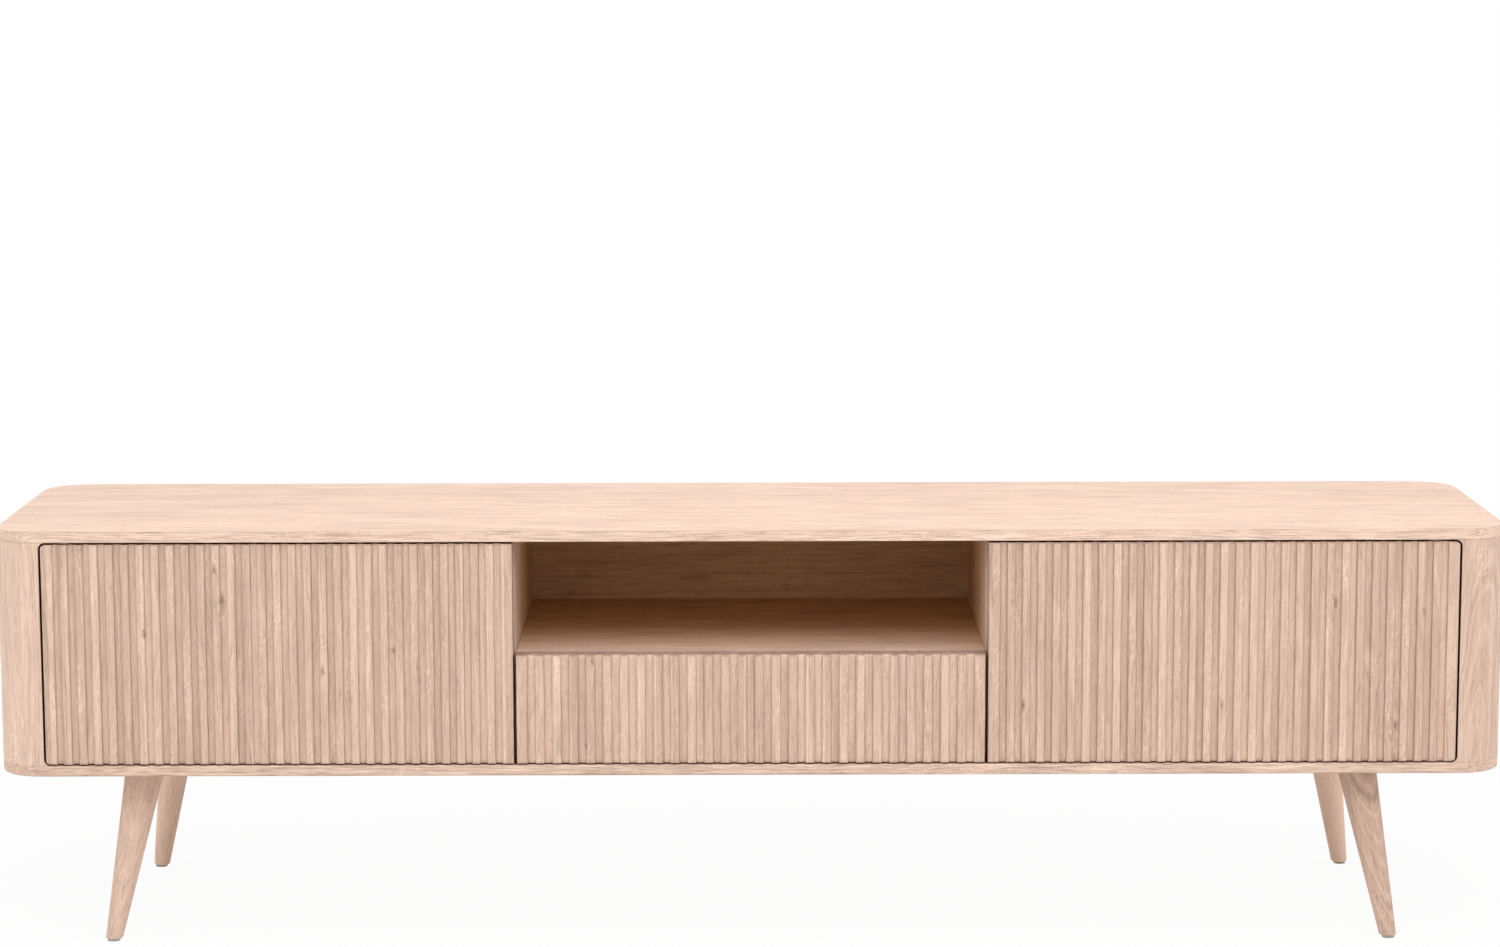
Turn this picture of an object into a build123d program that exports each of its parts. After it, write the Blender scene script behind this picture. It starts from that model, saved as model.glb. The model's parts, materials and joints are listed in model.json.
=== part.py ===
from build123d import *
import os

# Low media cabinet in pale oak, in millimetres.
# The origin is on the floor under the middle of the cabinet, +X is its width, -Y its front and +Z up.

# Overall size
overall_width = 1800.0
overall_depth = 400.0
overall_height = 500.0
leg_height = 205.0
corner_radius = 55.0

# Boards
board_thickness = 13.0
post_size = 58.0
side_thickness = 16.0
partition_thickness = 16.0
shelf_thickness = 16.0
back_thickness = 8.0
back_inset = 6.5
back_tongue = 6.0
arris_round = 1.5
joint_ease = 0.5

# Fronts
front_thickness = 20.0
outer_gap = 2.5
middle_gap = 3.5
top_gap = 2.5
foot_gap = 1.5
front_setback = 2.0
drawer_front_height = 130.5
shelf_lip = 1.0
door_corner_radius = 5.5
slat_chamfer = 1.0

# Grooves milled in the fronts
groove_depth = 4.8
groove_ease = 1.1
groove_floor_radius = 1.4
edge_land = 12.5
door_groove_pitch = 18.0
door_groove_width = 8.4
drawer_groove_pitch = 20.07
drawer_groove_width = 9.5

# Loose shelves behind the doors
loose_shelf_thickness = 16.0
loose_shelf_height = 132.0
loose_shelf_clearance = 1.0
pin_diameter = 5.0
pin_embed = 10.0
pin_reach = 9.0
pin_inset = 45.0

# Dowels
dowel_diameter = 8.0
dowel_embed = 9.0
dowel_embed_deep = 20.0
dowel_edge = 16.0

# Legs
leg_top_diameter = 47.0
leg_foot_diameter = 19.5
leg_foot_inset_x = 132.5
leg_foot_inset_y = 18.0
leg_splay_x = 36.0
leg_splay_y = 46.0
glide_diameter = 15.0
glide_thickness = 2.5
leg_foot_chamfer = 1.5
leg_plate_diameter = 74.0
leg_plate_thickness = 3.0
leg_plate_screw_circle = 61.0
leg_plate_screw_count = 4
stud_diameter = 8.0
stud_depth = 30.0

# Door pivots
pivot_setback = 27.0
pivot_depth = 11.5
pivot_pin_diameter = 6.0
pivot_pin_length = 8.0
pivot_barrel_diameter = 9.0
pivot_barrel_length = 22.0
pivot_collar_diameter = 14.0
pivot_collar_thickness = 1.5
bush_diameter = 9.5
bush_length = 9.0
bush_flange_diameter = 15.0
running_clearance = 0.05
thrust_clearance = 0.3

# Drawer box
drawer_side_thickness = 12.0
drawer_box_height = 90.0
drawer_box_lift = 10.0
drawer_rear_room = 30.5
drawer_bottom_thickness = 6.0
drawer_bottom_rise = 8.0
drawer_bottom_tongue = 6.0

# Drawer runners, three nested channels on each side
runner_space = 13.0
runner_setback = 3.0
runner_rear_setback = 2.0
runner_height = 36.0
runner_sheet = 1.2
runner_clearance = 0.3
cabinet_rail_width = 9.0
runner_screw_inset = 30.0

# Push latches
latch_width = 14.0
latch_length = 46.0
drawer_latch_length = 25.0
latch_plunger_diameter = 6.0
latch_stroke = 3.0
latch_stop_room = 1.0
latch_axis_height = 7.0
latch_cap = 7.0
drawer_latch_axis_height = 20.0
latch_drop = 8.0
latch_setback = 2.5
latch_screw_inset = 6.0
latch_ear_web = 1.0
latch_tip_clearance = 0.3
strike_diameter = 14.0
strike_thickness = 1.5

# Screws
screw_diameter = 3.5
screw_head_diameter = 7.0
screw_head_height = 2.2
back_screw_length = 24.0
plate_screw_length = 11.0
rail_screw_length = 10.0
latch_screw_bite = 9.0
front_screw_bite = 8.0

# Cable outlets in the back panel
cable_outlet_diameter = 60.0

# How far a cutting shape runs past what it cuts
overcut = 1.0

# Places worked out from the sizes
half_width = overall_width / 2
front_y = -overall_depth / 2
rear_y = overall_depth / 2
floor_board_top = leg_height + board_thickness
top_board_under = overall_height - board_thickness
opening_half = half_width - post_size
side_inner_x = half_width - side_thickness
post_back_y = front_y + post_size
rear_post_y = rear_y - post_size
front_width = (2 * opening_half - 2 * outer_gap - 2 * middle_gap) / 3
front_back_y = front_y + front_thickness
carcass_front_y = front_back_y + front_setback
back_outer_y = rear_y - back_inset
back_inner_y = back_outer_y - back_thickness
door_inner_x = front_width / 2 + middle_gap
door_outer_x = door_inner_x + front_width
front_bottom_z = floor_board_top + foot_gap
door_top_z = top_board_under - top_gap
drawer_front_top_z = front_bottom_z + drawer_front_height
niche_half = front_width / 2 + middle_gap / 2
partition_outer_x = niche_half + partition_thickness
shelf_top_z = drawer_front_top_z + shelf_lip
shelf_under_z = shelf_top_z - shelf_thickness
loose_shelf_under_z = floor_board_top + loose_shelf_height - loose_shelf_thickness
pivot_x = door_outer_x - pivot_setback
pivot_y = front_y + pivot_depth
drawer_box_x = niche_half - runner_space
drawer_box_z = floor_board_top + drawer_box_lift
drawer_box_top_z = drawer_box_z + drawer_box_height
drawer_box_rear_y = back_inner_y - drawer_rear_room
runner_z = drawer_box_z + drawer_box_height / 2
runner_front_y = front_back_y + runner_setback
runner_rear_y = drawer_box_rear_y - runner_rear_setback
compartment_x = (partition_outer_x + side_inner_x) / 2

nodes = {}


def block(low, high):
    """A box between its lowest and its highest corner."""
    size = Vector(*high) - Vector(*low)
    middle = (Vector(*low) + Vector(*high)) * 0.5
    return Pos(middle) * Box(size.X, size.Y, size.Z)


def rod(start, end, diameter):
    """A round bar from one point to another."""
    start = Vector(*start)
    run = Vector(*end) - start
    place = Plane(origin=start, z_dir=run).location
    return place * Cylinder(diameter / 2, run.length, align=(Align.CENTER, Align.CENTER, Align.MIN))


def screw(head, direction, length, head_height=screw_head_height):
    """A countersunk screw whose flat head lies at a point and whose shank runs along a direction."""
    base = (Align.CENTER, Align.CENTER, Align.MIN)
    head_radius = screw_head_diameter / 2
    shank_radius = screw_diameter / 2
    place = Plane(origin=head, z_dir=direction).location
    body = Cone(head_radius, shank_radius, head_height, align=base)
    body += Pos(0, 0, head_height) * Cylinder(shank_radius, length - head_height, align=base)
    return place * body


def mirrored(shape):
    """The same shape on the other side of the cabinet."""
    return mirror(shape, about=Plane.YZ)


def carve(shape, tools):
    """A shape with every tool cut out of it."""
    for tool in tools:
        shape = shape - tool
    return shape


def carcass_dowels():
    """Dowels that pin the posts, partitions, shelf and side panels together."""
    upright_places = []
    for side_y in (-1, 1):
        upright_places.append((opening_half + dowel_edge, side_y * (rear_y - post_size / 2)))
        upright_places.append((half_width - post_size / 2, side_y * (rear_post_y + dowel_edge)))
    partition_x = niche_half + partition_thickness / 2
    upright_places.append((partition_x, carcass_front_y + post_size))
    upright_places.append((partition_x, back_inner_y - post_size))
    right = []
    for x, y in upright_places:
        right.append(rod((x, y, floor_board_top - dowel_embed), (x, y, floor_board_top + dowel_embed_deep),
                         dowel_diameter))
        right.append(rod((x, y, top_board_under - dowel_embed_deep), (x, y, top_board_under + dowel_embed),
                         dowel_diameter))
    side_x = half_width - side_thickness / 2
    for z in (floor_board_top + post_size, top_board_under - post_size):
        right.append(rod((side_x, post_back_y - dowel_embed, z), (side_x, post_back_y + dowel_embed_deep, z),
                         dowel_diameter))
        right.append(rod((side_x, rear_post_y - dowel_embed_deep, z), (side_x, rear_post_y + dowel_embed, z),
                         dowel_diameter))
    shelf_z = shelf_top_z - shelf_thickness / 2
    for y in (carcass_front_y + post_size, back_inner_y - post_size):
        right.append(rod((niche_half - dowel_embed_deep, y, shelf_z), (niche_half + dowel_embed, y, shelf_z),
                         dowel_diameter))
    return right + [mirrored(dowel) for dowel in right]


def plan_board(low_z, high_z):
    """A board over the whole plan, with rounded corners."""
    outline = RectangleRounded(overall_width, overall_depth, corner_radius)
    return Pos(0, 0, low_z) * extrude(outline, high_z - low_z)


def corner_post():
    """The front right corner post, with round spandrels at the corners of the door's opening."""
    plan = Pos(half_width - post_size / 2, front_y + post_size / 2) * Rectangle(post_size, post_size)
    outer_corner = plan.vertices().sort_by(Axis.X)[-2:].sort_by(Axis.Y)[0]
    plan = fillet(outer_corner, corner_radius)
    post = Pos(0, 0, floor_board_top) * extrude(plan, top_board_under - floor_board_top)
    spandrel_radius = door_corner_radius + outer_gap
    for z, direction in ((floor_board_top, 1), (top_board_under, -1)):
        inner_z = z + direction * spandrel_radius
        corner = block((opening_half - spandrel_radius, front_y, min(z, inner_z)),
                       (opening_half, front_back_y, max(z, inner_z)))
        round_x = opening_half - spandrel_radius
        round_cut = rod((round_x, front_y - overcut, inner_z), (round_x, front_back_y + overcut, inner_z),
                        2 * spandrel_radius)
        post += corner - round_cut
    return post


def rear_post():
    """The rear right corner post, grooved for the edge of the back panel."""
    plan = Pos(half_width - post_size / 2, rear_y - post_size / 2) * Rectangle(post_size, post_size)
    outer_corner = plan.vertices().sort_by(Axis.X)[-2:].sort_by(Axis.Y)[-1]
    plan = fillet(outer_corner, corner_radius)
    post = Pos(0, 0, floor_board_top) * extrude(plan, top_board_under - floor_board_top)
    return post - block((opening_half, back_inner_y, floor_board_top),
                        (opening_half + back_tongue, back_outer_y, top_board_under))


def fluted_board(width, height, pitch, groove_width):
    """A board milled with upright grooves: its front on y = 0, its middle on x = 0, its foot on z = 0."""
    count = int((width - 2 * edge_land - groove_width) / pitch) + 1
    grooves = GridLocations(pitch, 1, count, 1) * Rectangle(groove_width, 2 * groove_depth)
    plan = Pos(0, front_thickness / 2) * Rectangle(width, front_thickness)
    plan = plan - grooves
    at_front = plan.vertices().filter_by(lambda v: abs(v.Y) < groove_depth / 2)
    plan = fillet(at_front, groove_ease)
    on_floor = plan.vertices().filter_by(lambda v: abs(v.Y - groove_depth) < groove_ease / 2)
    plan = fillet(on_floor, groove_floor_radius)
    board = extrude(plan, height)
    reach = groove_depth + slat_chamfer
    for z, direction in ((0, 1), (height, -1)):
        wedge = Polyline((0, -slat_chamfer, z - direction * slat_chamfer),
                         (0, reach, z - direction * slat_chamfer),
                         (0, -slat_chamfer, z + direction * 2 * slat_chamfer), close=True)
        cutter = extrude(make_face(wedge), width / 2, dir=(1, 0, 0), both=True)
        limit = block((-width, -slat_chamfer, -height), (width, slat_chamfer, 2 * height))
        board = board - (cutter & limit)
    return board


def door_panel():
    """The right door, fluted, with its two outer corners rounded and seats for its pivots and strike."""
    height = door_top_z - front_bottom_z
    board = fluted_board(front_width, height, door_groove_pitch, door_groove_width)
    board = Pos((door_inner_x + door_outer_x) / 2, front_y, front_bottom_z) * board
    for z, direction in ((front_bottom_z, 1), (door_top_z, -1)):
        inner_x = door_outer_x - door_corner_radius
        inner_z = z + direction * door_corner_radius
        outer_z = z - direction * overcut
        corner = block((inner_x, front_y - overcut, min(outer_z, inner_z)),
                       (door_outer_x + overcut, front_back_y + overcut, max(outer_z, inner_z)))
        rounded = rod((inner_x, front_y - 2 * overcut, inner_z),
                      (inner_x, front_back_y + 2 * overcut, inner_z), 2 * door_corner_radius)
        board = board - (corner - rounded)
    return board


def door_pivot(edge_z, board_z):
    """A pivot pin with a collar let into the door's edge and a barrel pressed into the door."""
    direction = 1 if board_z > edge_z else -1
    barrel = rod((pivot_x, pivot_y, edge_z - direction * pivot_barrel_length), (pivot_x, pivot_y, edge_z),
                 pivot_barrel_diameter)
    collar = rod((pivot_x, pivot_y, edge_z - direction * pivot_collar_thickness), (pivot_x, pivot_y, edge_z),
                 pivot_collar_diameter)
    pin = rod((pivot_x, pivot_y, edge_z), (pivot_x, pivot_y, board_z + direction * pivot_pin_length),
              pivot_pin_diameter)
    return barrel + collar + pin


def pivot_bush(edge_z, board_z):
    """A flanged bush in the board, whose flange keeps the door's gap. Returned solid, then hollow."""
    direction = 1 if board_z > edge_z else -1
    sleeve = rod((pivot_x, pivot_y, board_z), (pivot_x, pivot_y, board_z + direction * bush_length),
                 bush_diameter)
    flange = rod((pivot_x, pivot_y, edge_z + direction * thrust_clearance), (pivot_x, pivot_y, board_z),
                 bush_flange_diameter)
    blank = sleeve + flange
    bore_end = board_z + direction * (pivot_pin_length + thrust_clearance)
    bore = rod((pivot_x, pivot_y, edge_z - direction * overcut), (pivot_x, pivot_y, bore_end),
               pivot_pin_diameter + 2 * running_clearance)
    return blank, blank - bore


def channel(web_x, lip_x, half_height, low_y, high_y):
    """A runner rail: an upright web at one side with a lip along its top and its bottom."""
    step = runner_sheet if lip_x > web_x else -runner_sheet
    low_x, high_x = sorted((web_x, web_x + step))
    rail = block((low_x, low_y, runner_z - half_height), (high_x, high_y, runner_z + half_height))
    low_x, high_x = sorted((web_x, lip_x))
    for z in (runner_z - half_height, runner_z + half_height - runner_sheet):
        rail += block((low_x, low_y, z), (high_x, high_y, z + runner_sheet))
    return rail


def push_latch(length, axis_height, mount):
    """A push latch lying along +Y from its front at y = 0, on its mounting face at z = 0.

    Returns its body, its plunger and its two screws, each placed by a location.
    """
    top = axis_height + latch_cap
    body = block((-latch_width / 2, 0, 0), (latch_width / 2, length, top))
    plunger_length = length - latch_cap - latch_stroke - latch_stop_room
    tip_y = latch_tip_clearance - latch_setback
    bore = rod((0, -overcut, axis_height), (0, length - latch_cap, axis_height),
               latch_plunger_diameter + 2 * running_clearance)
    plunger = rod((0, tip_y, axis_height), (0, plunger_length, axis_height), latch_plunger_diameter)
    screws = []
    ear_x = latch_width / 2 + latch_screw_inset
    ear_height = screw_head_height + latch_ear_web
    for y in (latch_screw_inset, length - latch_screw_inset):
        side = 1 if y < length / 2 else -1
        low_x, high_x = sorted((0, side * (ear_x + latch_screw_inset)))
        body += block((low_x, y - latch_screw_inset, 0), (high_x, y + latch_screw_inset, ear_height))
        screws.append(screw((side * ear_x, y, ear_height), (0, 0, -1), ear_height + latch_screw_bite))
    body = carve(body - bore, screws)
    return mount * body, mount * plunger, [mount * item for item in screws]


def leg_set(side_x, side_y):
    """One splayed leg with its stud, plate, plate screws and glide."""
    foot = Vector(side_x * (half_width - leg_foot_inset_x), side_y * (rear_y - leg_foot_inset_y), 0)
    top = foot + Vector(-side_x * leg_splay_x, -side_y * leg_splay_y, leg_height)
    run = top - foot
    slope = (leg_top_diameter - leg_foot_diameter) / 2 / run.length
    spare = leg_foot_diameter
    low_radius = leg_foot_diameter / 2 - slope * spare
    high_radius = leg_top_diameter / 2 + slope * 2 * spare
    start = foot - run.normalized() * spare
    place = Plane(origin=start, z_dir=run).location
    leg = place * Cone(low_radius, high_radius, run.length + 3 * spare,
                       align=(Align.CENTER, Align.CENTER, Align.MIN))
    reach = overall_width
    leg = leg & block((-reach, -reach, glide_thickness), (reach, reach, leg_height))
    leg = chamfer(leg.edges().sort_by(Axis.Z)[0], leg_foot_chamfer)
    unit = run.normalized()
    plate_top = leg_height + leg_plate_thickness
    stud_low = top - unit * stud_depth
    stud_high = top + unit * leg_plate_thickness * 2
    stud = rod(stud_low, stud_high, stud_diameter) & block((-reach, -reach, 0), (reach, reach, plate_top))
    plate = rod((top.X, top.Y, leg_height), (top.X, top.Y, plate_top), leg_plate_diameter)
    screws = []
    for place in PolarLocations(leg_plate_screw_circle / 2, leg_plate_screw_count):
        at = place.position + Vector(top.X, top.Y, leg_height)
        screws.append(screw(at, (0, 0, 1), plate_screw_length))
    glide = rod((foot.X, foot.Y, 0), (foot.X, foot.Y, glide_thickness), glide_diameter)
    blank = plate
    plate = carve(plate - stud, screws)
    return leg - stud, stud, plate, screws, glide, blank


# Fittings come first, because the boards are drilled by them
dowels = carcass_dowels()

bush_blanks = []
bushes = []
pivots = []
for edge_z, board_z in ((front_bottom_z, floor_board_top), (door_top_z, top_board_under)):
    blank, bush = pivot_bush(edge_z, board_z)
    bush_blanks += [blank, mirrored(blank)]
    bushes += [bush, mirrored(bush)]
    pivots.append(door_pivot(edge_z, board_z))
nodes["pivot_bushes"] = bushes

leg_plates = []
leg_plate_blanks = []
leg_studs = []
leg_plate_screws = []
foot_glides = []
for y_name, side_y in (("front", -1), ("rear", 1)):
    for x_name, side_x in (("left", -1), ("right", 1)):
        leg, stud, plate, screws, glide, blank = leg_set(side_x, side_y)
        nodes[f"{y_name}_{x_name}_leg"] = leg
        leg_studs.append(stud)
        leg_plates.append(plate)
        leg_plate_blanks.append(blank)
        leg_plate_screws += screws
        foot_glides.append(glide)
nodes["leg_studs"] = leg_studs
nodes["leg_plates"] = leg_plates
nodes["leg_plate_screws"] = leg_plate_screws
nodes["foot_glides"] = foot_glides

# Push latches: one on each partition for its door, one on the bottom board for the drawer
latch_z = top_board_under - latch_drop - latch_screw_inset * 2 - latch_width / 2
latch_place = Location((partition_outer_x, front_back_y + latch_setback, latch_z)) * Rot(0, 90, 0)
right_latch = push_latch(latch_length, latch_axis_height, latch_place)
left_latch = [mirrored(right_latch[0]), mirrored(right_latch[1]),
              [mirrored(item) for item in right_latch[2]]]
drawer_latch_place = Location((0, drawer_box_rear_y + latch_setback, floor_board_top))
drawer_latch = push_latch(drawer_latch_length, drawer_latch_axis_height, drawer_latch_place)
latch_screws = []
for name, latch in (("left", left_latch), ("right", right_latch), ("drawer", drawer_latch)):
    nodes[f"{name}_latch_body"] = latch[0]
    nodes[f"{name}_latch_plunger"] = latch[1]
    latch_screws += latch[2]
nodes["latch_screws"] = latch_screws

# Strike plates, let in flush where the plungers meet the doors and the drawer box
strike_x = partition_outer_x + latch_axis_height
right_strike = rod((strike_x, front_back_y - strike_thickness, latch_z), (strike_x, front_back_y, latch_z),
                   strike_diameter)
drawer_strike_z = floor_board_top + drawer_latch_axis_height
drawer_strike = rod((0, drawer_box_rear_y - strike_thickness, drawer_strike_z),
                    (0, drawer_box_rear_y, drawer_strike_z), strike_diameter)
nodes["right_strike_plate"] = right_strike
nodes["left_strike_plate"] = mirrored(right_strike)
nodes["drawer_strike_plate"] = drawer_strike

# Runners: cabinet rail on the partition, middle rail inside it, drawer rail inside that
cabinet_half = runner_height / 2
middle_half = cabinet_half - runner_sheet - runner_clearance
drawer_half = middle_half - runner_sheet - runner_clearance
middle_web_x = niche_half - runner_sheet - runner_clearance
drawer_lip_x = middle_web_x - runner_sheet - runner_clearance
middle_lip_x = drawer_box_x + runner_sheet + runner_clearance
cabinet_rail = channel(niche_half, niche_half - cabinet_rail_width, cabinet_half, runner_front_y,
                       runner_rear_y)
middle_rail = channel(middle_web_x, middle_lip_x, middle_half, runner_front_y, runner_rear_y)
drawer_rail = channel(drawer_box_x, drawer_lip_x, drawer_half, runner_front_y, runner_rear_y)
cabinet_rail_screws = []
drawer_rail_screws = []
for y in (runner_front_y + runner_screw_inset, (runner_front_y + runner_rear_y) / 2,
          runner_rear_y - runner_screw_inset):
    cabinet_rail_screws.append(screw((niche_half - runner_sheet, y, runner_z), (1, 0, 0),
                                     rail_screw_length, runner_sheet))
    drawer_rail_screws.append(screw((drawer_box_x + runner_sheet, y, runner_z), (-1, 0, 0),
                                    rail_screw_length, runner_sheet))
cabinet_rail = carve(cabinet_rail, cabinet_rail_screws)
drawer_rail = carve(drawer_rail, drawer_rail_screws)
for name, rail in (("cabinet", cabinet_rail), ("middle", middle_rail), ("drawer", drawer_rail)):
    nodes[f"right_{name}_rail"] = rail
    nodes[f"left_{name}_rail"] = mirrored(rail)
nodes["cabinet_rail_screws"] = cabinet_rail_screws + [mirrored(item) for item in cabinet_rail_screws]
nodes["drawer_rail_screws"] = drawer_rail_screws + [mirrored(item) for item in drawer_rail_screws]

# Loose shelves and their pins
shelf_pins = []
pin_z = loose_shelf_under_z - pin_diameter / 2
for y in (post_back_y + pin_inset, rear_post_y - pin_inset):
    shelf_pins.append(rod((partition_outer_x - pin_embed, y, pin_z),
                          (partition_outer_x + pin_reach, y, pin_z), pin_diameter))
    shelf_pins.append(rod((side_inner_x - pin_reach, y, pin_z), (side_inner_x + pin_embed, y, pin_z),
                          pin_diameter))
shelf_pins += [mirrored(pin) for pin in shelf_pins]
nodes["shelf_pins"] = shelf_pins
right_loose_shelf = block(
    (partition_outer_x + loose_shelf_clearance, post_back_y + loose_shelf_clearance, loose_shelf_under_z),
    (side_inner_x - loose_shelf_clearance, rear_post_y - loose_shelf_clearance,
     loose_shelf_under_z + loose_shelf_thickness))
right_loose_shelf = fillet(right_loose_shelf.edges().filter_by(Axis.X), joint_ease)
nodes["right_loose_shelf"] = right_loose_shelf
nodes["left_loose_shelf"] = mirrored(right_loose_shelf)

# Screws through the back panel into the partitions and the niche's shelf
back_screws = []
partition_x = niche_half + partition_thickness / 2
for z in (floor_board_top + post_size, shelf_top_z + post_size / 4, top_board_under - post_size / 2):
    for x in (-partition_x, partition_x):
        back_screws.append(screw((x, back_outer_y, z), (0, -1, 0), back_screw_length))
shelf_middle_z = shelf_top_z - shelf_thickness / 2
for x in (-niche_half / 2, niche_half / 2):
    back_screws.append(screw((x, back_outer_y, shelf_middle_z), (0, -1, 0), back_screw_length))
nodes["back_panel_screws"] = back_screws
nodes["carcass_dowels"] = dowels

# Boards of the carcass
top_panel = plan_board(top_board_under, overall_height)
top_panel = fillet(top_panel.edges().group_by(Axis.Z)[-1], arris_round)
top_panel = fillet(top_panel.edges().group_by(Axis.Z)[0], joint_ease)
nodes["top_panel"] = carve(top_panel, dowels + bush_blanks)

bottom_panel = plan_board(leg_height, floor_board_top)
bottom_panel = fillet(bottom_panel.edges().group_by(Axis.Z)[0], arris_round)
bottom_panel = fillet(bottom_panel.edges().group_by(Axis.Z)[-1], joint_ease)
bottom_panel = carve(bottom_panel, dowels + bush_blanks + leg_plate_blanks)
nodes["bottom_panel"] = carve(bottom_panel, leg_plate_screws + drawer_latch[2])

front_post = carve(corner_post(), dowels)
nodes["front_right_post"] = front_post
nodes["front_left_post"] = mirrored(front_post)
back_post = carve(rear_post(), dowels)
nodes["rear_right_post"] = back_post
nodes["rear_left_post"] = mirrored(back_post)

side_panel = block((side_inner_x, post_back_y, floor_board_top), (half_width, rear_post_y, top_board_under))
side_panel = carve(side_panel, dowels + shelf_pins)
nodes["right_side_panel"] = side_panel
nodes["left_side_panel"] = mirrored(side_panel)

partition = block((niche_half, carcass_front_y, floor_board_top),
                  (partition_outer_x, back_inner_y, top_board_under))
partition = carve(partition, dowels + shelf_pins + back_screws + right_latch[2] + cabinet_rail_screws)
nodes["right_partition"] = partition
nodes["left_partition"] = mirrored(partition)

media_shelf = block((-niche_half, carcass_front_y, shelf_under_z), (niche_half, back_inner_y, shelf_top_z))
nodes["media_shelf"] = carve(media_shelf, dowels + back_screws)

back_panel = block((-opening_half - back_tongue, back_inner_y, floor_board_top),
                   (opening_half + back_tongue, back_outer_y, top_board_under))
back_panel = carve(back_panel, back_screws)
outlet_z = (loose_shelf_under_z + loose_shelf_thickness + top_board_under) / 2
for x in (-compartment_x, compartment_x):
    back_panel = back_panel - rod((x, back_inner_y - overcut, outlet_z),
                                  (x, back_outer_y + overcut, outlet_z), cable_outlet_diameter)
nodes["back_panel"] = back_panel

# Doors
door = carve(door_panel(), pivots + [right_strike])
nodes["right_door_panel"] = door
nodes["left_door_panel"] = mirrored(door)
nodes["right_door_pivots"] = pivots
nodes["left_door_pivots"] = [mirrored(pivot) for pivot in pivots]

# Drawer front and drawer box
drawer_front = fluted_board(front_width, drawer_front_height, drawer_groove_pitch, drawer_groove_width)
drawer_front = Pos(0, front_y, front_bottom_z) * drawer_front
box_inner_x = drawer_box_x - drawer_side_thickness
box_front_y = front_back_y + drawer_side_thickness
box_back_y = drawer_box_rear_y - drawer_side_thickness
front_screws = []
for x in (-box_inner_x / 2, box_inner_x / 2):
    for z in (drawer_box_z + drawer_box_height / 3, drawer_box_top_z - drawer_box_height / 4):
        front_screws.append(screw((x, box_front_y, z), (0, -1, 0), drawer_side_thickness + front_screw_bite))
drawer_bottom_z = drawer_box_z + drawer_bottom_rise
drawer_bottom = block(
    (-box_inner_x - drawer_bottom_tongue, box_front_y - drawer_bottom_tongue, drawer_bottom_z),
    (box_inner_x + drawer_bottom_tongue, box_back_y + drawer_bottom_tongue,
     drawer_bottom_z + drawer_bottom_thickness))
drawer_side = block((box_inner_x, front_back_y, drawer_box_z),
                    (drawer_box_x, drawer_box_rear_y, drawer_box_top_z))
drawer_side = fillet(drawer_side.edges().group_by(Axis.Z)[-1].filter_by(Axis.Y), arris_round)
drawer_side = carve(drawer_side - drawer_bottom, drawer_rail_screws)
box_front = block((-box_inner_x, front_back_y, drawer_box_z), (box_inner_x, box_front_y, drawer_box_top_z))
box_back = block((-box_inner_x, box_back_y, drawer_box_z),
                 (box_inner_x, drawer_box_rear_y, drawer_box_top_z))
nodes["drawer_front"] = carve(drawer_front, front_screws)
nodes["drawer_front_screws"] = front_screws
nodes["drawer_bottom"] = drawer_bottom
nodes["drawer_right_side"] = drawer_side
nodes["drawer_left_side"] = mirrored(drawer_side)
nodes["drawer_box_front"] = carve(box_front - drawer_bottom, front_screws)
nodes["drawer_box_back"] = carve(box_back - drawer_bottom, [drawer_strike])

# One file for each piece, or for each set of like fittings
os.makedirs("parts", exist_ok=True)
for name, shape in nodes.items():
    solids = []
    for item in shape if isinstance(shape, list) else [shape]:
        solids += item.solids()
    export_step(Compound(solids) if len(solids) > 1 else solids[0], f"parts/{name}.step")
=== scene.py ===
import json
import math
import bmesh
import bpy
from mathutils import Euler, Matrix, Vector


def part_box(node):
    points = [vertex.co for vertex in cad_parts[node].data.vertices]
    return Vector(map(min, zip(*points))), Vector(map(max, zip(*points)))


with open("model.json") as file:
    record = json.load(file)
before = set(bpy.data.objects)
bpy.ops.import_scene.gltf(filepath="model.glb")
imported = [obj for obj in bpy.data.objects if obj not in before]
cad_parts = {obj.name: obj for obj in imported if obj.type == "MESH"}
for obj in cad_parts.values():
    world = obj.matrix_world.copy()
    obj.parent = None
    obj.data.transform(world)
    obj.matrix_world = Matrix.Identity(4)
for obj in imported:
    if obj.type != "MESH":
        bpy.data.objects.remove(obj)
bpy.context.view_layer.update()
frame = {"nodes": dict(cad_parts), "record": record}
MM = 0.001

# Camera, in metres and degrees: a long lens in front of the middle, looking slightly down
camera_place = (-0.0065, -4.4482, 1.1660)
camera_pitch = 8.013
camera_yaw = -0.084
camera_roll = -0.130
camera_lens_mm = 87.39
camera_sensor_mm = 36.0

# Light: an even pale surround, and soft boxes in front above, over the top and at both sides.
# Each box has its place and its size in metres and its power in watts.
surround_strength = 0.55
soft_boxes = (
    ("front_box", (0.3, -2.1, 2.9), (3.0, 1.6), 41.0),
    ("top_box", (0.0, -0.4, 3.6), (3.4, 1.8), 34.0),
    ("left_box", (-4.2, -1.6, 1.9), (2.6, 2.2), 42.0),
    ("right_box", (4.2, -1.6, 1.9), (2.6, 2.2), 42.0),
)
light_aim = (0.0, -0.1, 0.35)

# Floor: white to the eye, with a pale shadow near the cabinet
floor_reach = 40.0
floor_colour = "#f0efed"
floor_white_near = 0.94
floor_near = 1.1
floor_far = 2.6
plain_white = "#ffffff"


def linear(hex_colour):
    """An sRGB hex colour as linear RGBA."""
    channels = [int(hex_colour[i:i + 2], 16) / 255 for i in (1, 3, 5)]
    return [c / 12.92 if c <= 0.04045 else ((c + 0.055) / 1.055) ** 2.4 for c in channels] + [1.0]


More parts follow.
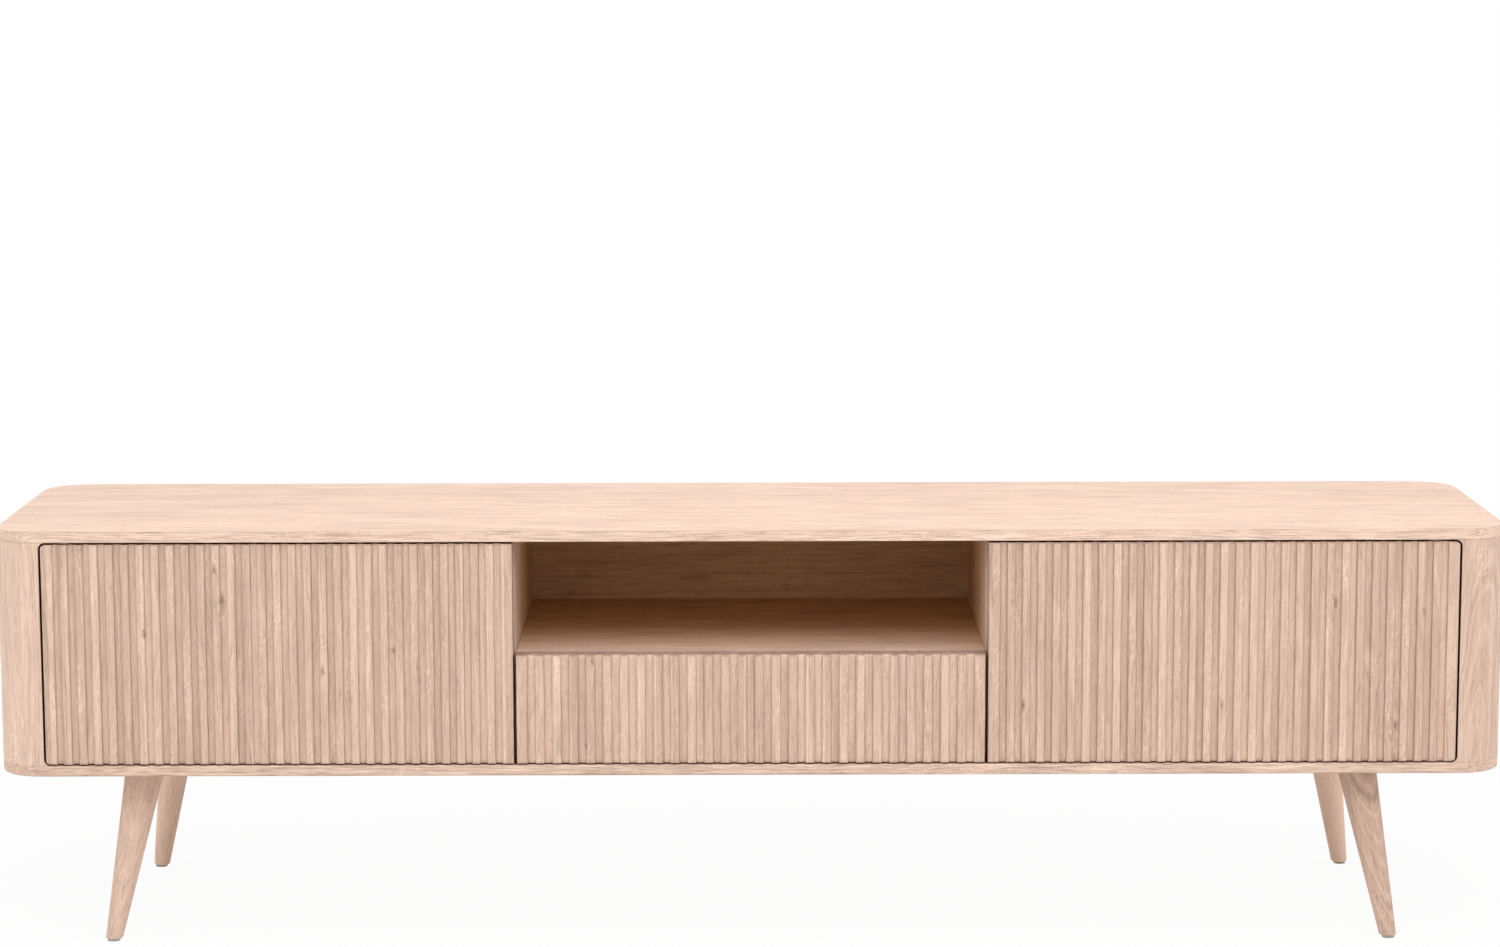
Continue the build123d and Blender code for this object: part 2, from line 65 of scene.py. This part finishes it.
def add(tree, kind, inputs=None, **settings):
    """Adds a node with its settings, and its inputs as values or links. Returns the node's outputs.

    Map Range takes its value at 0, the range it comes from at 1 and 2, and the range it goes to at 3 and 4.
    Mix takes its share at 0 and its colours at 6 and 7, and gives the mixed colour at 2.
    """
    node = tree.nodes.new(kind)
    for name, value in settings.items():
        setattr(node, name, value)
    for key, value in (inputs or {}).items():
        if isinstance(value, bpy.types.NodeSocket):
            tree.links.new(value, node.inputs[key])
        else:
            node.inputs[key].default_value = value
    return node.outputs


def new_material(name):
    """A material with an empty node tree."""
    material = bpy.data.materials.new(name)
    material.use_nodes = True
    material.node_tree.nodes.clear()
    return material, material.node_tree


def middle_of(node):
    """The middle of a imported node's box."""
    low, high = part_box(node)
    return (Vector(low) + Vector(high)) / 2


# Soaped oak, sawn, planed and soaped: pale, pinkish and matt. Rings, long fibres and short pores run with
# the grain, staves differ in tone, pale flecks cross some of them, and the grain parts round small knots.
# The faces that look into the cabinet have painted shade: they are browner, and grow browner towards the
# back.
# Wood that faces a narrow gap has painted shade: it turns dark brown where little is open around it, and so
# the gaps are dark brown lines.
oak_light = "#f6d8c3"
# Painted shade for the faces inside the cabinet, browner than the oak
oak_dark = "#b09383"
inner_shade_light = "#ecc498"
inner_shade_dark = "#a3754b"
# Painted shade for wood in narrow gaps
gap_painted_shade = "#6e340f"
oak_knot = "#6b432c"
oak_ior = 1.46
oak_shine = 0.2
oak_rough = (0.5, 0.66)
oak_relief = 0.25
oak_relief_mm = 0.3

# Rings, and the place of a stave or of a whole piece of wood in its trunk, in metres from the heart.
# The heart wanders over a length, both in millimetres, and leans by its tilt in radians.
ring_mm = 3.4
ring_detail = 2.0
ring_roughness = 0.6
board_trunk = {"spread": (0.22, 0.035, 0.6), "low": (-0.11, 0.004, 0.0)}
whole_trunk = {"spread": (0.0, 0.006, 0.6), "low": (0.0, 0.024, 0.0)}
upright_sway = {"length": 200.0, "wander": 20.0, "tilt": 0.035}
long_sway = {"length": 420.0, "wander": 18.0, "tilt": 0.008}
whole_sway = {"length": 150.0, "wander": 9.0, "tilt": 0.11}
sway_detail = 1.0
stave_scatter = 0.6

# Streaks by width and length, and the noise levels between which they come out.
# Real pores are about 0.3 mm wide: they are drawn coarser so that they show.
upright_band_mm = (22.0, 260.0)
long_band_mm = (14.0, 110.0)
fibre_mm = (1.6, 75.0)
pore_mm = (1.3, 15.0)
fleck_mm = (1.6, 9.0)
fleck_patch_mm = (38.0, 90.0)
edge_mm = (1.8, 70.0)
fleck_turn = math.radians(28.0)
edge_turn = math.radians(2.5)
streak_roughness = 0.62
fibre_levels = (0.3, 0.7)
pore_levels = (0.56, 0.68)
fleck_levels = (0.52, 0.66)
edge_levels = (0.3, 0.7)
edge_tones = (-0.44, 0.42)

# Knots are ovals along the grain. Their reach, and the ragged rim of their eye, are in radii of the knot,
# and the push is the share by which the grain gives way at the middle.
knot_stretch = 0.36
knot_reach = 9.0
knot_push = 0.85
knot_ragged_mm = 2.2
knot_ragged = 1.6
knot_core = 0.9
knot_rim = 1.7
knot_share = 0.6

# How much each of these darkens the wood, or makes it paler where the share is negative
band_share = 0.50
fibre_share = 0.95
pore_share = 0.22
fleck_share = -0.22
arris_share = 0.7
# Painted light on the groove floors against their shade, and painted shade on the groove walls and side
# edges. The top and bottom edges and groove ends are darker both as end grain and as painted shade.
groove_floor_painted_light = -0.27
end_grain_and_painted_shade = 0.45
groove_wall_painted_shade = 0.31

# Where a groove's floor, the painted shade inside and the painted shade of a gap begin and end. The painted
# shade of a gap goes by the open share of what lies within reach: sides and partitions stay plain at the
# niche's front edges, where about half is open.
front_y = -0.200
groove_floor_y = front_y + 4.0 * MM
groove_blend_mm = 0.5
niche_middle = (0.0, 0.0, 0.42)
inward_levels = (-0.05, -0.02)
inner_shade_levels = (-0.17, 0.06)
gap_reach_mm = 7.0
gap_samples = 8
gap_dark = 0.35
gap_plain = 0.62
side_gap_plain = 0.45


def oak(name, grain, seed, tone, stave_mm=0.0, stave_share=0.0, ring_share=0.44, edge_share=0.0, knots=(),
        lean=(0.0, 0.0, 0.0), middle=(0.0, 0.0, 0.0), milled=False, inner=True, gap_end=gap_plain):
    """Oak whose grain runs along X ("x"), or along Z on a board across X ("z") or across Y ("side").

    Without staves it is one piece of wood, and without a gap end its gaps get no painted shade.
    """
    material, tree = new_material(name)
    surface = add(tree, "ShaderNodeTexCoord")
    shift = Euler(lean).to_matrix() @ Vector(middle)
    place = add(tree, "ShaderNodeMapping", {"Vector": surface["Object"], "Location": -shift,
                                            "Rotation": lean})[0]
    x, y, z = add(tree, "ShaderNodeSeparateXYZ", {0: place})
    across, depth, along = {"z": (x, y, z), "x": (y, z, x), "side": (y, x, z)}[grain]
    heart = board_trunk if stave_mm else whole_trunk
    sway = upright_sway if stave_mm else whole_sway
    band_mm = upright_band_mm
    if grain == "x":
        sway = long_sway
        band_mm = long_band_mm
    wander = sway["wander"] * MM
    if milled or inner:
        from_front = add(tree, "ShaderNodeSeparateXYZ", {0: surface["Object"]})["Y"]
    if milled or edge_share:
        facing = add(tree, "ShaderNodeVectorMath", {0: surface["Normal"]}, operation="ABSOLUTE")[0]
        to_side, to_front, to_top = add(tree, "ShaderNodeSeparateXYZ", {0: facing})
    if knots:
        face = add(tree, "ShaderNodeCombineXYZ", {0: across, 1: along})[0]

    # The grain parts round each knot, whose eye is small, ragged and brown
    flow = across
    eyes = None
    for knot_across, knot_along, knot_mm in knots:
        knot_size = knot_mm * MM
        ragged = add(tree, "ShaderNodeTexNoise", {"Vector": face, "Scale": 1 / (knot_ragged_mm * MM)})[0]
        from_knot = add(tree, "ShaderNodeVectorMath", {0: face, 1: (knot_across, knot_along, 0.0)},
                        operation="SUBTRACT")[0]
        oval = add(tree, "ShaderNodeVectorMath", {0: from_knot, 1: (1.0, knot_stretch, 0.0)},
                   operation="MULTIPLY")[0]
        away = add(tree, "ShaderNodeVectorMath", {0: oval}, operation="LENGTH")["Value"]
        near = add(tree, "ShaderNodeMapRange", {0: away, 1: 0.0, 2: knot_reach * knot_size, 3: knot_push,
                                                4: 0.0}, interpolation_type="SMOOTHERSTEP")[0]
        aside = add(tree, "ShaderNodeSeparateXYZ", {0: from_knot})[0]
        push = add(tree, "ShaderNodeMath", {0: aside, 1: near}, operation="MULTIPLY")[0]
        flow = add(tree, "ShaderNodeMath", {0: flow, 1: push}, operation="SUBTRACT")[0]
        rim = add(tree, "ShaderNodeMath", {0: ragged, 1: knot_ragged * knot_size, 2: away},
                  operation="MULTIPLY_ADD")[0]
        eye = add(tree, "ShaderNodeMapRange", {0: rim, 1: knot_core * knot_size, 2: knot_rim * knot_size,
                                               3: 1.0, 4: 0.0})[0]
        if eyes is None:
            eyes = eye
        else:
            eyes = add(tree, "ShaderNodeMath", {0: eyes, 1: eye}, operation="MAXIMUM")[0]

    # Staves: each has its own tone and its own place in the trunk
    stave = 0.0
    if stave_mm:
        stave = add(tree, "ShaderNodeTexVoronoi", {"W": across, "Scale": 1 / (stave_mm * MM),
                                                   "Randomness": stave_scatter},
                    voronoi_dimensions="1D")["W"]
    lot = add(tree, "ShaderNodeMath", {0: stave, 1: seed}, operation="ADD")[0]
    chance = add(tree, "ShaderNodeTexWhiteNoise", {"W": lot}, noise_dimensions="1D")
    from_middle = add(tree, "ShaderNodeMath", {0: flow, 1: stave}, operation="SUBTRACT")[0]
    spot = add(tree, "ShaderNodeCombineXYZ", {0: from_middle, 1: depth, 2: along})[0]
    lie = add(tree, "ShaderNodeVectorMath", {0: chance["Color"], 1: heart["spread"], 2: heart["low"]},
              operation="MULTIPLY_ADD")[0]
    trunk = add(tree, "ShaderNodeVectorMath", {0: spot, 1: lie}, operation="ADD")[0]

    # Rings round the heart of the trunk, which sways and leans along the board
    swing = add(tree, "ShaderNodeTexNoise", {"Vector": trunk, "Scale": 1 / (sway["length"] * MM),
                                             "Detail": sway_detail})["Color"]
    bent = add(tree, "ShaderNodeVectorMath", {0: swing, 1: (wander, wander, 0.0), 2: trunk},
               operation="MULTIPLY_ADD")[0]
    leaning = add(tree, "ShaderNodeMapping", {"Vector": bent, "Rotation": (sway["tilt"], 0.0, 0.0)})[0]
    disc = add(tree, "ShaderNodeVectorMath", {0: leaning, 1: (1.0, 1.0, 0.0)}, operation="MULTIPLY")[0]
    radius = add(tree, "ShaderNodeVectorMath", {0: disc}, operation="LENGTH")["Value"]
    rings = add(tree, "ShaderNodeTexNoise", {"W": radius, "Scale": 1 / (ring_mm * MM), "Detail": ring_detail,
                                             "Roughness": ring_roughness}, noise_dimensions="1D")[0]

    def streaks(size_mm, detail, turn=0.0):
        """Streaks of this width and length, with the grain or turned from it."""
        size = (size_mm[0] * MM, size_mm[0] * MM, size_mm[1] * MM)
        scaled = add(tree, "ShaderNodeMapping", {"Vector": bent, "Rotation": (0.0, turn, 0.0),
                                                 "Scale": size}, vector_type="TEXTURE")[0]
        return add(tree, "ShaderNodeTexNoise", {"Vector": scaled, "Scale": 1.0, "Detail": detail,
                                                "Roughness": streak_roughness})[0]

    band = streaks(band_mm, detail=1.0)
    fibre = streaks(fibre_mm, detail=3.0)
    pore = add(tree, "ShaderNodeMapRange", {0: streaks(pore_mm, detail=1.0), 1: pore_levels[0],
                                            2: pore_levels[1]})[0]
    fleck = add(tree, "ShaderNodeMapRange", {0: streaks(fleck_mm, detail=0.0, turn=fleck_turn),
                                             1: fleck_levels[0], 2: fleck_levels[1]})[0]
    patch = add(tree, "ShaderNodeMapRange", {0: streaks(fleck_patch_mm, detail=0.0), 1: fleck_levels[0],
                                             2: fleck_levels[1]})[0]
    fleck = add(tree, "ShaderNodeMath", {0: fleck, 1: patch}, operation="MULTIPLY")[0]

    # All of these make the wood lighter or darker about its tone
    shares = [(rings, ring_share), (chance["Value"], stave_share), (band, band_share), (fibre, fibre_share)]
    darkness = tone - sum(share for part, share in shares) / 2
    shares += [(pore, pore_share), (fleck, fleck_share)]
    if edge_share:
        edge = add(tree, "ShaderNodeMapRange", {0: streaks(edge_mm, detail=2.0, turn=edge_turn),
                                                1: edge_levels[0], 2: edge_levels[1],
                                                3: edge_tones[0], 4: edge_tones[1]})[0]
        edge = add(tree, "ShaderNodeMath", {0: edge, 1: to_front}, operation="MULTIPLY")[0]
        arris = add(tree, "ShaderNodeMath", {0: to_top, 1: to_front}, operation="MULTIPLY")[0]
        shares += [(edge, edge_share), (arris, arris_share)]
    if milled:
        groove = add(tree, "ShaderNodeMapRange", {0: from_front, 1: groove_floor_y,
                                                  2: groove_floor_y + groove_blend_mm * MM})[0]
        groove = add(tree, "ShaderNodeMath", {0: groove, 1: to_front}, operation="MULTIPLY")[0]
        shares += [(groove, groove_floor_painted_light), (to_top, end_grain_and_painted_shade), (to_side, groove_wall_painted_shade)]
    for part, share in shares:
        darkness = add(tree, "ShaderNodeMath", {0: part, 1: share, 2: darkness}, operation="MULTIPLY_ADD")[0]
    colour = add(tree, "ShaderNodeMix", {0: darkness, 6: linear(oak_light), 7: linear(oak_dark)},
                 data_type="RGBA")[2]
    rough = add(tree, "ShaderNodeMapRange", {0: fibre, 1: fibre_levels[0], 2: fibre_levels[1],
                                             3: oak_rough[0], 4: oak_rough[1]})[0]

    # Painted shade inside and in the gaps, and brown in the eyes of the knots
    if inner:
        from_niche = add(tree, "ShaderNodeVectorMath", {0: surface["Object"], 1: niche_middle},
                         operation="SUBTRACT")[0]
        outward = add(tree, "ShaderNodeVectorMath", {0: from_niche, 1: surface["Normal"]},
                      operation="DOT_PRODUCT")["Value"]
        inward = add(tree, "ShaderNodeMapRange", {0: outward, 1: inward_levels[0], 2: inward_levels[1],
                                                  3: 1.0, 4: 0.0})[0]
        shaded = add(tree, "ShaderNodeMapRange", {0: from_front, 1: inner_shade_levels[0], 2: inner_shade_levels[1]})[0]
        shaded = add(tree, "ShaderNodeMath", {0: shaded, 1: inward}, operation="MULTIPLY")[0]
        inner_shade_colour = add(tree, "ShaderNodeMix", {0: darkness, 6: linear(inner_shade_light), 7: linear(inner_shade_dark)},
                    data_type="RGBA")[2]
        colour = add(tree, "ShaderNodeMix", {0: shaded, 6: colour, 7: inner_shade_colour}, data_type="RGBA")[2]
    # Painted shade where little is open within reach, as in a shut gap
    if gap_end:
        open_share = add(tree, "ShaderNodeAmbientOcclusion", {"Distance": gap_reach_mm * MM},
                         samples=gap_samples)["AO"]
        gap = add(tree, "ShaderNodeMapRange", {0: open_share, 1: gap_dark, 2: gap_end, 3: 1.0, 4: 0.0})[0]
        colour = add(tree, "ShaderNodeMix", {0: gap, 6: colour, 7: linear(gap_painted_shade)}, data_type="RGBA")[2]
        rough = add(tree, "ShaderNodeMath", {0: rough, 1: gap}, operation="MAXIMUM")[0]
    if eyes is not None:
        eyes = add(tree, "ShaderNodeMath", {0: eyes, 1: knot_share}, operation="MULTIPLY")[0]
        colour = add(tree, "ShaderNodeMix", {0: eyes, 6: colour, 7: linear(oak_knot)}, data_type="RGBA")[2]
    relief = add(tree, "ShaderNodeMath", {0: fibre, 1: pore}, operation="SUBTRACT")[0]
    normal = add(tree, "ShaderNodeBump", {"Strength": oak_relief, "Distance": oak_relief_mm * MM,
                                          "Height": relief})[0]
    wood = add(tree, "ShaderNodeBsdfPrincipled", {"Base Color": colour, "Roughness": rough, "Normal": normal,
                                                  "IOR": oak_ior, "Specular IOR Level": oak_shine})[0]
    add(tree, "ShaderNodeOutputMaterial", {"Surface": wood})
    return material


# Birch plywood, sanded and lacquered: smooth cream faces, and edges striped by plies that lie crosswise
birch_light = "#efdabd"
birch_dark = "#d9b98f"
birch_ply = "#b98f63"
birch_ior = 1.5
birch_rough = (0.38, 0.5)
birch_relief = 0.15
birch_relief_mm = 0.2
birch_fibre_mm = (2.6, 120.0)
birch_figure_levels = (0.35, 0.75)
ply_mm = 1.5
ply_turn = (0.45, 0.55)
ply_share = 0.6


def birch_plywood(name, thickness, grain, first_face):
    """Plywood whose plies lie across one axis, with the grain of its faces along another."""
    material, tree = new_material(name)
    place = add(tree, "ShaderNodeTexCoord")["Object"]
    size = [birch_fibre_mm[1] * MM if axis == grain else birch_fibre_mm[0] * MM for axis in "xyz"]
    scaled = add(tree, "ShaderNodeMapping", {"Vector": place, "Scale": size}, vector_type="TEXTURE")[0]
    fibre = add(tree, "ShaderNodeTexNoise", {"Vector": scaled, "Scale": 1.0, "Detail": 3.0})[0]
    figure = add(tree, "ShaderNodeMapRange", {0: fibre, 1: birch_figure_levels[0],
                                              2: birch_figure_levels[1]})[0]
    colour = add(tree, "ShaderNodeMix", {0: figure, 6: linear(birch_light), 7: linear(birch_dark)},
                 data_type="RGBA")[2]
    level = add(tree, "ShaderNodeSeparateXYZ", {0: place})["XYZ".index(thickness.upper())]
    level = add(tree, "ShaderNodeMath", {0: level, 1: first_face}, operation="SUBTRACT")[0]
    layer = add(tree, "ShaderNodeMath", {0: level, 1: ply_mm * MM}, operation="PINGPONG")[0]
    crosswise = add(tree, "ShaderNodeMapRange", {0: layer, 1: ply_turn[0] * ply_mm * MM,
                                                 2: ply_turn[1] * ply_mm * MM, 3: 0.0, 4: ply_share})[0]
    colour = add(tree, "ShaderNodeMix", {0: crosswise, 6: colour, 7: linear(birch_ply)}, data_type="RGBA")[2]
    normal = add(tree, "ShaderNodeBump", {"Strength": birch_relief, "Distance": birch_relief_mm * MM,
                                          "Height": fibre})[0]
    rough = add(tree, "ShaderNodeMapRange", {0: fibre, 1: fibre_levels[0], 2: fibre_levels[1],
                                             3: birch_rough[0], 4: birch_rough[1]})[0]
    wood = add(tree, "ShaderNodeBsdfPrincipled", {"Base Color": colour, "Roughness": rough, "Normal": normal,
                                                  "IOR": birch_ior})[0]
    add(tree, "ShaderNodeOutputMaterial", {"Surface": wood})
    return material


# Zinc-plated steel, rolled and pressed: bright, slightly cloudy, with faint lines along the rails.
# The lines are drawn coarser than real ones so that they show.
zinc_dull = "#b4b7ba"
zinc_bright = "#d3d4d2"
zinc_rough = (0.26, 0.4)
zinc_relief = 0.12
zinc_relief_mm = 0.05
zinc_cloud_mm = 6.0
zinc_cloud_levels = (0.3, 0.7)
rolled_line_mm = (0.5, 60.0)


def zinc_steel():
    """Steel whose rolled lines run along Y, as the rails do."""
    material, tree = new_material("zinc_plated_steel")
    place = add(tree, "ShaderNodeTexCoord")["Object"]
    cloud = add(tree, "ShaderNodeTexNoise", {"Vector": place, "Scale": 1 / (zinc_cloud_mm * MM),
                                             "Detail": 3.0})[0]
    line_size = (rolled_line_mm[0] * MM, rolled_line_mm[1] * MM, rolled_line_mm[0] * MM)
    drawn = add(tree, "ShaderNodeMapping", {"Vector": place, "Scale": line_size}, vector_type="TEXTURE")[0]
    lines = add(tree, "ShaderNodeTexNoise", {"Vector": drawn, "Scale": 1.0, "Detail": 2.0})[0]
    colour = add(tree, "ShaderNodeMix", {0: cloud, 6: linear(zinc_dull), 7: linear(zinc_bright)},
                 data_type="RGBA")[2]
    rough = add(tree, "ShaderNodeMapRange", {0: cloud, 1: zinc_cloud_levels[0], 2: zinc_cloud_levels[1],
                                             3: zinc_rough[0], 4: zinc_rough[1]})[0]
    normal = add(tree, "ShaderNodeBump", {"Strength": zinc_relief, "Distance": zinc_relief_mm * MM,
                                          "Height": lines})[0]
    metal = add(tree, "ShaderNodeBsdfPrincipled", {"Base Color": colour, "Roughness": rough, "Metallic": 1.0,
                                                   "Normal": normal})[0]
    add(tree, "ShaderNodeOutputMaterial", {"Surface": metal})
    return material


# Moulded nylon: light grey with the fine grit of a spark-eroded mould, drawn coarser so that it shows
nylon_dark = "#98968f"
nylon_light = "#aeaca6"
nylon_ior = 1.53
nylon_rough = 0.5
nylon_relief = 0.2
nylon_relief_mm = 0.1
nylon_grit_mm = 0.8


def grey_nylon():
    """Nylon with grit on all its faces."""
    material, tree = new_material("grey_nylon")
    place = add(tree, "ShaderNodeTexCoord")["Object"]
    grit = add(tree, "ShaderNodeTexNoise", {"Vector": place, "Scale": 1 / (nylon_grit_mm * MM),
                                            "Detail": 2.0})[0]
    colour = add(tree, "ShaderNodeMix", {0: grit, 6: linear(nylon_dark), 7: linear(nylon_light)},
                 data_type="RGBA")[2]
    normal = add(tree, "ShaderNodeBump", {"Strength": nylon_relief, "Distance": nylon_relief_mm * MM,
                                          "Height": grit})[0]
    plastic = add(tree, "ShaderNodeBsdfPrincipled", {"Base Color": colour, "Roughness": nylon_rough,
                                                     "Normal": normal, "IOR": nylon_ior})[0]
    add(tree, "ShaderNodeOutputMaterial", {"Surface": plastic})
    return material


def dress(node, material):
    """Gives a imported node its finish."""
    mesh = frame["nodes"][node].data
    mesh.materials.clear()
    mesh.materials.append(material)


# Doors and drawer front: narrow staves, milled, with a few knots.
# A knot has its place in metres across and up, and its radius in millimetres.
front_stave_mm = 10.0
left_door_knots = ((-0.626, 0.417, 4.6), (-0.719, 0.378, 3.6), (-0.508, 0.332, 3.4), (-0.424, 0.356, 2.6),
                   (-0.634, 0.455, 3.0))
right_door_knots = ((0.694, 0.411, 4.0), (0.324, 0.289, 2.8), (0.560, 0.289, 3.2), (0.768, 0.262, 3.6),
                    (0.798, 0.402, 2.2))
drawer_knots = ((-0.188, 0.343, 2.8), (-0.196, 0.240, 2.4))
door_fronts = {"left_door_panel": ("oak_left_door", 3.1, left_door_knots),
               "right_door_panel": ("oak_right_door", 8.7, right_door_knots)}
for node, (name, seed, knots) in door_fronts.items():
    dress(node, oak(name, "z", seed, tone=0.51, stave_mm=front_stave_mm, stave_share=0.22, knots=knots,
                    milled=True))
dress("drawer_front", oak("oak_drawer_front", "z", seed=5.3, tone=0.50, stave_mm=front_stave_mm,
                          stave_share=0.24, knots=drawer_knots, milled=True))

# Posts: one piece of wood each, and only the front pair stands beside gaps. The front-left post has a
# lighter tone than the front-right one: painted light from the left.
post_seed = 1.7
posts = {"front_left_post": (0.35, gap_plain), "front_right_post": (0.52, gap_plain),
         "rear_left_post": (0.40, 0.0), "rear_right_post": (0.40, 0.0)}
for number, (node, (tone, gap_end)) in enumerate(posts.items()):
    dress(node, oak(f"oak_{node}", "z", post_seed + number, tone, ring_share=0.8, middle=middle_of(node),
                    gap_end=gap_end))

# Boards of glued staves
side_oak = oak("oak_sides", "side", seed=2.9, tone=0.40, stave_mm=75.0, stave_share=0.26,
               gap_end=side_gap_plain)
for node in ("left_side_panel", "right_side_panel", "left_partition", "right_partition"):
    dress(node, side_oak)
# The top board is painted lighter, as painted light from above, and the bottom board darker, as painted
# shade low down
for node, tone in (("top_panel", 0.29), ("bottom_panel", 0.46)):
    dress(node, oak(f"oak_{node}", "x", seed=4.4, tone=tone, stave_mm=70.0, stave_share=0.16,
                    ring_share=0.24, edge_share=0.75))
shelf_oak = oak("oak_shelves", "x", seed=7.3, tone=0.40, stave_mm=80.0, stave_share=0.2)
for node in ("left_loose_shelf", "right_loose_shelf", "media_shelf"):
    dress(node, shelf_oak)
dress("back_panel", oak("oak_back_panel", "x", seed=6.1, tone=0.36, stave_mm=60.0, stave_share=0.2,
                        gap_end=0.0))

# Legs: one piece of wood each, by side in X and in Y, tone and share of the rings.
# The grain leans with the leg, and the splay is in degrees forwards or back, and outwards.
leg_seed = 6.0
leg_splay = (12.6, 10.0)
# The rear legs are painted much lighter, as painted light against the shade under the cabinet, and the
# front-left leg lighter than the front-right one, as painted light from the left
legs = {"front_left_leg": (-1, -1, 0.50, 0.2), "front_right_leg": (1, -1, 0.70, 0.8),
        "rear_left_leg": (-1, 1, 0.0, 0.8), "rear_right_leg": (1, 1, -0.04, 0.5)}
for node, (side_x, side_y, tone, ring_share) in legs.items():
    leg_lean = (math.radians(-leg_splay[0] * side_y), math.radians(leg_splay[1] * side_x), 0.0)
    dress(node, oak(f"oak_{node}", "z", leg_seed + side_x + 2 * side_y, tone, ring_share=ring_share,
                    lean=leg_lean, middle=middle_of(node), inner=False, gap_end=0.0))

# Drawer box, dowels and fittings. Each piece of birch has the axis of its thickness and of its grain.
steel = zinc_steel()
nylon = grey_nylon()
birch_cuts = {"drawer_left_side": ("x", "y"), "drawer_right_side": ("x", "y"),
              "drawer_box_front": ("y", "x"), "drawer_box_back": ("y", "x"),
              "drawer_bottom": ("z", "x"), "carcass_dowels": ("x", "z")}
for subpart in frame["record"]["subparts"]:
    node = subpart["node"]
    if subpart["material_slot"] == "birch":
        thickness, grain = birch_cuts[node]
        first_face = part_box(node)[0]["xyz".index(thickness)]
        dress(node, birch_plywood(f"birch_plywood_{node}", thickness, grain, first_face))
    elif subpart["material_slot"] == "zinc_plated_steel":
        dress(node, steel)
    elif subpart["material_slot"] == "grey_plastic":
        dress(node, nylon)


def seen_by_eye(tree):
    """1 for a ray from the eye, straight, mirrored or let through, and 0 for one that only carries light."""
    path = add(tree, "ShaderNodeLightPath")
    seen = add(tree, "ShaderNodeMath", {0: path["Is Camera Ray"], 1: path["Is Glossy Ray"]},
               operation="MAXIMUM")[0]
    return add(tree, "ShaderNodeMath", {0: seen, 1: path["Is Transmission Ray"]}, operation="MAXIMUM")[0]


def pale_floor():
    """A flat matt floor, which is almost white to the eye near the cabinet and white further off."""
    form = bmesh.new()
    bmesh.ops.create_grid(form, x_segments=1, y_segments=1, size=floor_reach)
    mesh = bpy.data.meshes.new("floor")
    form.to_mesh(mesh)
    form.free()
    floor = bpy.data.objects.new("floor", mesh)
    bpy.context.scene.collection.objects.link(floor)
    material, tree = new_material("pale_floor")
    place = add(tree, "ShaderNodeTexCoord")["Object"]
    away = add(tree, "ShaderNodeVectorMath", {0: place}, operation="LENGTH")["Value"]
    share = add(tree, "ShaderNodeMapRange", {0: away, 1: floor_near, 2: floor_far, 3: floor_white_near,
                                             4: 1.0}, interpolation_type="SMOOTHSTEP")[0]
    share = add(tree, "ShaderNodeMath", {0: share, 1: seen_by_eye(tree)}, operation="MULTIPLY")[0]
    matt = add(tree, "ShaderNodeBsdfDiffuse", {"Color": linear(floor_colour)})[0]
    white = add(tree, "ShaderNodeEmission", {"Color": linear(plain_white), "Strength": 1.0})[0]
    both = add(tree, "ShaderNodeMixShader", {0: share, 1: matt, 2: white})[0]
    add(tree, "ShaderNodeOutputMaterial", {"Surface": both})
    mesh.materials.append(material)


def soft_box(name, place, size, power):
    """A rectangular lamp that is turned to the cabinet."""
    lamp = bpy.data.lights.new(name, "AREA")
    lamp.shape = "RECTANGLE"
    lamp.size, lamp.size_y = size
    lamp.energy = power
    holder = bpy.data.objects.new(name, lamp)
    holder.location = place
    holder.rotation_euler = (Vector(light_aim) - Vector(place)).to_track_quat("-Z", "Y").to_euler()
    bpy.context.scene.collection.objects.link(holder)


def surround():
    """A world that is white to the eye and lights the cabinet more dimly."""
    world = bpy.data.worlds.new("surround")
    world.use_nodes = True
    tree = world.node_tree
    tree.nodes.clear()
    dim = add(tree, "ShaderNodeBackground", {"Color": linear(plain_white), "Strength": surround_strength})[0]
    white = add(tree, "ShaderNodeBackground", {"Color": linear(plain_white), "Strength": 1.0})[0]
    both = add(tree, "ShaderNodeMixShader", {0: seen_by_eye(tree), 1: dim, 2: white})[0]
    add(tree, "ShaderNodeOutputWorld", {"Surface": both})
    bpy.context.scene.world = world


def front_camera():
    """The camera at the place, turn and lens given above."""
    data = bpy.data.cameras.new("camera")
    data.sensor_width = camera_sensor_mm
    data.lens = camera_lens_mm
    camera = bpy.data.objects.new("camera", data)
    turn = Matrix.Rotation(math.radians(camera_yaw), 4, "Z")
    turn = turn @ Matrix.Rotation(math.radians(90 - camera_pitch), 4, "X")
    turn = turn @ Matrix.Rotation(math.radians(camera_roll), 4, "Z")
    camera.matrix_world = Matrix.Translation(camera_place) @ turn
    bpy.context.scene.collection.objects.link(camera)
    bpy.context.scene.camera = camera


pale_floor()
for name, place, size, power in soft_boxes:
    soft_box(name, place, size, power)
surround()
front_camera()
bpy.context.scene.view_settings.view_transform = "Standard"
